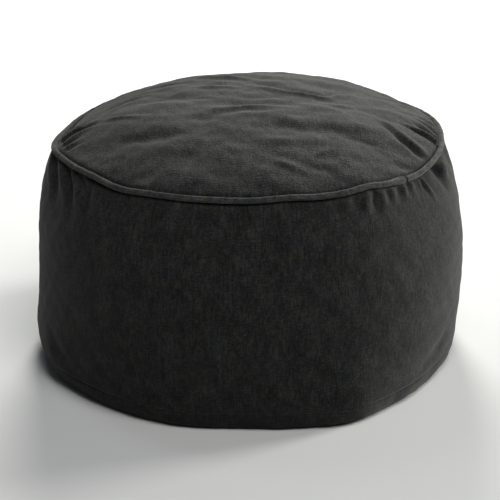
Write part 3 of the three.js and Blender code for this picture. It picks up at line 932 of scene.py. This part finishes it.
def add_wall(name, node, form, first, last, window):
    """One wall panel, from one azimuth to another, with the zip's window cut out if it has one."""
    rings = form[3]
    rows = rings[len(TOP_ROWS): len(rings) - 2]
    columns = np.arange(first, last + 1)
    points = rows[:, columns % COLUMNS]
    faces = np.reshape(grid_faces(grid_index(*points.shape[:2])), (len(points) - 1, -1, 4))
    if window:
        heights = np.concatenate([[0, 0], wall_heights()])
        low = heights[:-1] <= ZIP_TOP + 1e-6
        low[:2] = False
        behind = np.abs(columns[:-1] + 0.5 - 180) < ZIP_HALF
        faces = faces[~(low[:, None] & behind[None, :])]
    used, faces = np.unique(faces, return_inverse=True)
    wall = mesh_piece(name, points.reshape(-1, 3)[used], faces.reshape(-1, 4).tolist())
    subdivide(wall)
    points = points_of(wall)
    azimuth = azimuth_of(points, middle=(first + last) / 2)
    flat = np.column_stack([np.radians(azimuth) * BELLY_RADIUS, points[:, 2]])
    lift = wall_creases(flat) + 0.22 * MM * wobble(points, 0.026, 12)
    if window:
        lift += back_gathers(flat)
    near_seam = smoothstep((SEAM_HEIGHT - 4 * MM - points[:, 2] + seam_rise(azimuth)) / (5 * MM))
    near_band = smoothstep((points[:, 2] - BAND_TOP) / (12 * MM))
    lift *= near_seam * near_band
    edge = np.minimum(azimuth - first, last - azimuth) * math.radians(1) * BELLY_RADIUS
    pucker = 1 + 0.35 * wobble(points, 0.02, 13)
    lift -= 1.3 * MM * hump(edge, 3 * MM) * near_seam * pucker
    lift -= SEAM_DIP * hump(points[:, 2] - BAND_TOP, SEAM_DIP_WIDTH)
    set_points(wall, lift_wall(points, lift))
    set_uv(wall, flat)
    finish_cover(wall, shaded_wall_cloth("cover_cloth_" + name), node)


# --- lower band and base ---

def ring_piece(name, profile):
    """A closed band round the cushion from (radius, height) rows, and its points."""
    azimuths = np.arange(BAND_COLUMNS) * 360 / BAND_COLUMNS
    points = np.stack([polar(azimuths, r, z) for r, z in profile])
    faces = grid_faces(grid_index(*points.shape[:2]), closed=True)
    return mesh_piece(name, points, faces), points.reshape(-1, 3)


def seamless_uv(azimuth, along):
    """Flat positions for a closed ring, folded back at the rear so that the pattern meets itself."""
    return np.column_stack([np.abs(np.radians(azimuth)) * BELLY_RADIUS, along])


def add_band():
    wall = [(wall_radius(z), z) for z in np.linspace(BAND_TOP, 4 * MM, 15)]
    under = [(FOOT_RADIUS + r * MM, z * MM) for r, z in ((0.2, 2.0), (-0.8, 0.8), (-2.4, 0.2))]
    turned_in = [(BASE_RADIUS + r * MM, z * MM) for r, z in ((1.6, 0.0), (0.6, 0.5), (0.5, 5.0))]
    profile = wall + under + turned_in
    band, points = ring_piece("lower_band_cloth", profile)
    z = points[:, 2]
    middle = smoothstep(z / (5 * MM)) * smoothstep((BAND_TOP - z) / (4 * MM))
    lift = middle * (0.35 * MM * wobble(points, 0.05, 21) + 0.2 * MM * wobble(points, 0.02, 22))
    lift -= SEAM_DIP * hump(z - BAND_TOP, SEAM_DIP_WIDTH)
    lift[-len(turned_in) * BAND_COLUMNS:] = 0
    set_points(band, settle_foot(lift_wall(points, lift)))
    steps = np.hypot(*np.diff(profile, axis=0).T)
    along = np.repeat(np.concatenate([[0], np.cumsum(steps)]), BAND_COLUMNS)
    set_uv(band, seamless_uv(azimuth_of(points), BAND_TOP - along))
    finish_cover(band, shaded_wall_cloth("cover_cloth_band"), "lower_band")


def add_base():
    """The flat underside, eased up a little between its seam and the floor."""
    radius, azimuth = disc_grid(60)
    reach = BASE_RADIUS - 0.4 * MM
    r = radius * reach
    z = 0.35 * MM * (1 + wobble(polar(azimuth, r, 0), 0.05, 23).clip(-1, 1))
    z = z + 1.2 * MM * smoothstep((r - reach + 4 * MM) / (4 * MM))
    faces = grid_faces(grid_index(*radius.shape))
    base = mesh_piece("base_cloth", settle_foot(polar(azimuth, r, z)), faces)
    subdivide(base)
    set_uv(base, points_of(base)[:, :2])
    canvas = plain_weave("base_canvas", grey(0.006), grey(0.026), 900)
    finish_cover(base, canvas, "base_panel", "base_fabric")


# --- piping ---

LAP_START = 42.5  # azimuths between which one end of the strip laps over the other
LAP_END = 48.2
CORD_JOINT = LAP_END + 0.35  # where the two ends of the cord meet inside


def lap_relief(a, s):
    """The strip's lapped end at azimuth a: a swelling, a folded edge near the top (s = 90) and a slit."""
    swell = smoothstep((a - LAP_START) / 3) * smoothstep((LAP_END + 0.1 - a) / 0.15)
    slit = hump(a - CORD_JOINT, 0.28)
    edge = hump(turn(s, 70), 9)
    edge *= smoothstep((a - LAP_END + 3.2) / 1.5) * smoothstep((LAP_END + 0.2 - a) / 0.3)
    return np.maximum(0.9 * MM * swell - 2.5 * MM * slit - 1.9 * MM * edge, -2.5 * MM)


def add_piping():
    """The covered cord: a tube with slight bias wrinkles, whose strip laps over itself at one place."""
    fine = np.arange(LAP_END - 0.5, LAP_END + 1.2, 0.07)
    azimuths = np.sort(np.concatenate([np.arange(0, 360, 0.5), fine]))
    azimuths = azimuths[np.concatenate([[True], np.diff(azimuths) > 0.02])]
    around = np.linspace(0, 360, 32, endpoint=False)
    a, s = np.meshgrid(azimuths, around, indexing="ij")
    across = np.radians(turn(s, 90)) * BEAD_RADIUS * 0.6
    bias = np.stack([np.radians(a) * SEAM_RADIUS, across], axis=-1)
    wrinkle = 0.12 * MM * wobble(bias, 0.016, 41) + 0.09 * MM * wobble(bias, 0.007, 42)
    quiet = smoothstep(np.abs(turn(s, -90)) / 40)
    thick = BEAD_RADIUS - 0.3 * MM + wrinkle * quiet + lap_relief(a, s)
    sway = polar(a, SEAM_RADIUS, 0)
    out = SEAM_RADIUS + seam_push(a) + 0.35 * MM * wobble(sway, 0.12, 43)
    out = out + thick * np.cos(np.radians(s))
    up = SEAM_HEIGHT + seam_rise(a) + 0.45 * MM * wobble(sway, 0.10, 44)
    up = up + thick * np.sin(np.radians(s))
    index = grid_index(*a.shape)
    faces = grid_faces(np.vstack([index, index[:1]]), closed=True)
    piping = mesh_piece("piping_cloth", polar(a, out, up), faces)
    set_uv(piping, seamless_uv(turn(a, 180).ravel(), (np.radians(s) * BEAD_RADIUS).ravel()))
    # Painted highlight: the piping's copy of the cover cloth is painted more than twice as light as the top's.
    cloth = cover_cloth("cover_cloth_piping", tilt=math.radians(45), light=1.5, contrast=1.25)
    finish_piece(piping, cloth, "cover_fabric", "piping_sleeve")


def add_piping_cord():
    """Three twisted strands of cotton inside the piping."""
    twists = 98
    from_joint = np.linspace(0.7, 359.3, 1436)
    around = np.linspace(0, 360, 12, endpoint=False)
    a, s = np.meshgrid(CORD_JOINT + from_joint, around, indexing="ij")
    thick = 1.75 * MM + 0.75 * MM * np.abs(np.cos(np.radians(1.5 * (s - a * twists))))
    thick *= np.sqrt(smoothstep((np.minimum(from_joint, 360 - from_joint) - 0.68) / 0.5))[:, None]
    out = SEAM_RADIUS + seam_push(a) + thick * np.cos(np.radians(s))
    up = SEAM_HEIGHT + seam_rise(a) + thick * np.sin(np.radians(s))
    cord = mesh_piece("piping_cord_strands", polar(a, out, up), tube_faces(grid_index(*a.shape)))
    finish_piece(cord, cotton("cotton_strands"), "piping_cord", "piping_cord")


# --- zip ---

LEAN = math.atan2(wall_radius(ZIP_CENTRE + 6 * MM) - wall_radius(ZIP_CENTRE - 6 * MM), 12 * MM)
ZIP_SPAN = math.degrees(300 * MM / wall_radius(ZIP_CENTRE))  # from the back to each end of the chain
COIL_PITCH = 1.4 * MM
CHAIN_LENGTH = 590 * MM
TAPE_DEPTH = 2.15 * MM
TAPE_ROWS = [0.65, 0.9, 1.6, 2.6, 3.4, 4.2, 5.0, 6.0, 8.0, 11.0, 13.4]  # mm from the teeth
THREAD_RADIUS = 0.24 * MM
STITCH_LENGTH = 3 * MM
STITCH_GAP = 0.8 * MM
STITCH_INSET = 2.5 * MM  # from the edge of the zip's window


def along_zip(length):
    """The angle, in degrees, that a length of the zip takes."""
    return math.degrees(length / wall_radius(ZIP_CENTRE))


def behind_wall(azimuth, height, depth):
    """Points at heights from the line of teeth and depths behind the wall's face, which leans."""
    z = ZIP_CENTRE + height
    return polar(azimuth, wall_radius(z) - depth * math.cos(LEAN), z + depth * math.sin(LEAN))


def tube(path, radius, sides, reference):
    """Points and faces of a closed round tube. reference is a direction across the path at each point."""
    tangent = unit(np.gradient(path, axis=0))
    side = unit(np.cross(tangent, reference))
    other = np.cross(tangent, side)
    turns = np.arange(sides) * 2 * math.pi / sides
    ring = side[:, None] * np.cos(turns)[None, :, None] + other[:, None] * np.sin(turns)[None, :, None]
    points = path[:, None] + np.reshape(radius, (-1, 1, 1)) * ring
    return points.reshape(-1, 3), tube_faces(grid_index(len(path), sides))


def add_zip_coil(node, side, shift):
    """One side's coil of teeth: a nylon wire wound round the edge of its tape, thicker at the heads."""
    turns = int(CHAIN_LENGTH / COIL_PITCH)
    t = np.arange(0, turns, 0.1)
    azimuth = 180 - ZIP_SPAN + along_zip(3.6 * MM) + along_zip(COIL_PITCH) * (t + shift)
    swing = 2 * math.pi * t
    height = side * (1.68 * MM - 0.98 * MM * np.cos(swing))
    depth = 0.8 * MM - 0.66 * MM * np.sin(swing)
    wire = (0.29 + 0.03 * np.cos(swing)) * MM
    points, faces = tube(behind_wall(azimuth, height, depth), wire, 5, polar(azimuth + 90, 1, 0))
    name = node + "_turns"
    finish_piece(mesh_piece(name, points, faces), nylon(name + "_nylon"), "zip_coil", node)


def add_zip_tape(node, side):
    """A woven tape, from under its coil to behind the cloth."""
    span = ZIP_SPAN + along_zip(8 * MM)
    azimuths = np.linspace(180 - span, 180 + span, 400)
    heights = side * np.array(TAPE_ROWS) * MM
    a, h = np.meshgrid(azimuths, heights)
    place = np.stack([np.radians(a) * BELLY_RADIUS, h], axis=-1)
    depth = TAPE_DEPTH + 0.05 * MM * wobble(place, 0.02, 51)
    name = node + "_cloth"
    index = grid_index(*a.shape)
    if side > 0:
        index = index[::-1]
    tape = mesh_piece(name, behind_wall(a, h, depth), grid_faces(index))
    set_uv(tape, place.reshape(-1, 2))
    thicken(tape, 0.5 * MM)
    finish_piece(tape, plain_weave(name + "_weave", grey(0.006), grey(0.02), 2200), "zip_tape", node)


def add_casting(node, material):
    """A copy of a moving CAD part with the softened edges of a casting. Its body has the same name."""
    piece = link(bpy.data.objects[node].data.copy(), node + "_cast")
    remesh = piece.modifiers.new("fine", "REMESH")
    remesh.mode = "VOXEL"
    remesh.voxel_size = 0.15 * MM
    soften = piece.modifiers.new("soften", "SMOOTH")
    soften.factor = 0.5
    soften.iterations = 5
    bake_modifiers(piece)
    piece.data.shade_smooth()
    finish_piece(piece, material, "zip_metal", node, body=node)


def add_stitches(name, piece, z):
    """A row of thread stitches on a piece's outer face, round the back at one height."""
    mesh = bpy.data.objects[piece].data
    tree = BVHTree.FromPolygons([v.co for v in mesh.vertices], [tuple(p.vertices) for p in mesh.polygons])
    step = along_zip(STITCH_LENGTH + STITCH_GAP)
    over = ZIP_HALF + 0.6
    share = np.linspace(0, 1, 5)
    sunk = 0.12 * MM - 0.42 * MM * np.abs(2 * share - 1) ** 3
    points, faces = [], []
    for start in np.arange(180 - over, 180 + over - step, step):
        azimuths = start + along_zip(STITCH_LENGTH) * share
        rays = [(Vector(polar(a, 0.4, z)), Vector(polar(a, -1, 0))) for a in azimuths]
        path = np.array([tree.ray_cast(*ray)[0] for ray in rays])
        outward = unit(path * (1, 1, 0))
        own, own_faces = tube(path + outward * sunk[:, None], THREAD_RADIUS, 6, outward)
        faces += [[v + len(points) for v in face] for face in own_faces]
        points += own.tolist()
    finish_piece(mesh_piece(name, points, faces), cotton(name + "_thread", 0.06), "cover_fabric")


def add_zip():
    add_zip_coil("upper_zip_coil", 1, 0.0)
    add_zip_coil("lower_zip_coil", -1, 0.5)
    add_zip_tape("upper_zip_tape", 1)
    add_zip_tape("lower_zip_tape", -1)
    add_casting("zip_slider", enamelled_metal("slider_enamel"))
    add_casting("zip_pull", enamelled_metal("pull_enamel"))
    add_stitches("zip_stitches_upper", "rear_wall_cloth", ZIP_TOP + STITCH_INSET)
    add_stitches("zip_stitches_lower", "lower_band_cloth", BAND_TOP - STITCH_INSET)


# --- what stays as it was packed ---

def dress(material, *nodes):
    for node in nodes:
        for slot in bpy.data.objects[node].material_slots:
            slot.link = "OBJECT"
            slot.material = material


def dress_hidden_parts():
    """The inner bag, its beads and the zip's stops keep their CAD shapes."""
    dress(lining("inner_bag_lining"), "inner_bag_top", "inner_bag_wall", "inner_bag_base")
    dress(bead_material("polystyrene_beads"), "bead_fill")
    stops = ("upper_zip_top_stop", "lower_zip_top_stop", "zip_bottom_stop")
    dress(enamelled_metal("stop_enamel", wear=False), *stops)


# --- scene ---

add_camera()
add_studio()
form = cover_form()
add_top(form)
add_wall("front_wall_cloth", "front_wall_panel", form, -SIDE_SEAM, SIDE_SEAM, window=False)
add_wall("rear_wall_cloth", "rear_wall_panel", form, SIDE_SEAM, 360 - SIDE_SEAM, window=True)
add_band()
add_base()
add_piping()
add_piping_cord()
add_zip()
dress_hidden_parts()
